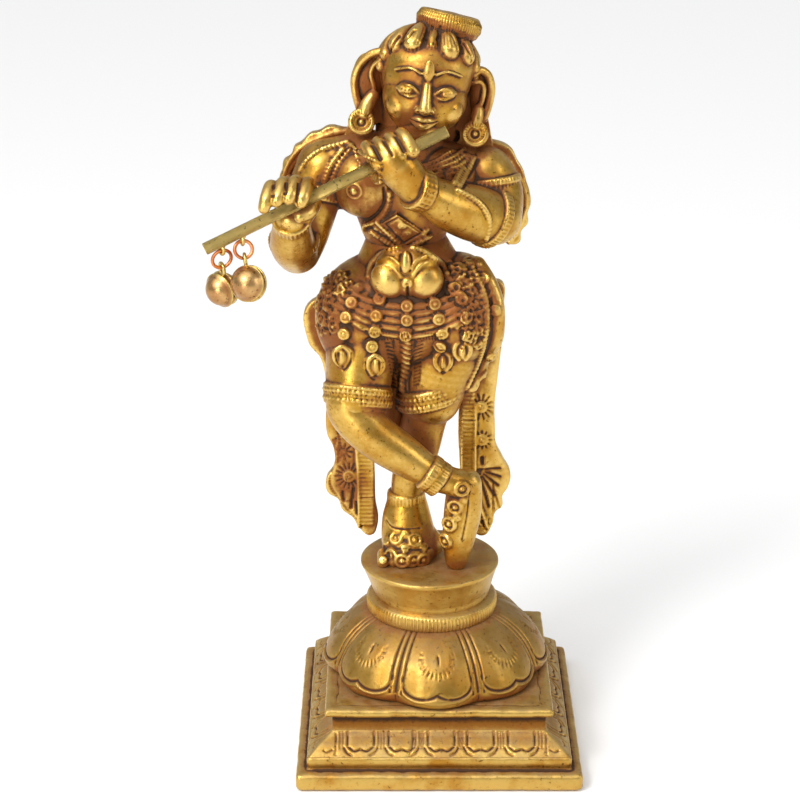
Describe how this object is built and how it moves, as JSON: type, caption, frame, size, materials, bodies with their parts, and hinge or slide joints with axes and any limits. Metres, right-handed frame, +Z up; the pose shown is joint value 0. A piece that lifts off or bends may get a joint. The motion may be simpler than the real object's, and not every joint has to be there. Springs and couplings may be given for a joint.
{
  "type": "statuette",
  "caption": "Cast brass flute player standing cross-legged on a drum, lotus and stepped square plinth, with small jingle bells hung from the flute",
  "frame": {"origin": "centre of the plinth's square underside", "axes": "+Z up along the statue's height, -Y is the side the figure faces, +X is the viewer's right when the figure is seen from the front"},
  "size_m": [0.1023, 0.08, 0.2115],
  "materials": {
    "worn_brass": "polished golden cast brass with dark brown patina in the recesses",
    "flute_brass": "duller, slightly green drawn brass rod",
    "copper_left": "orange-brown copper wire",
    "copper_right": "orange-brown copper wire",
    "bell_brass_left": "coppery brown brass with bright golden lips",
    "bell_brass_right": "coppery brown brass with bright golden lips"
  },
  "bodies": {
    "root": {"statue": "worn_brass", "flute": "flute_brass", "ring_left": "copper_left", "ring_right": "copper_right", "bell_left": "bell_brass_left", "bell_right": "bell_brass_right"}
  },
  "joints": []
}
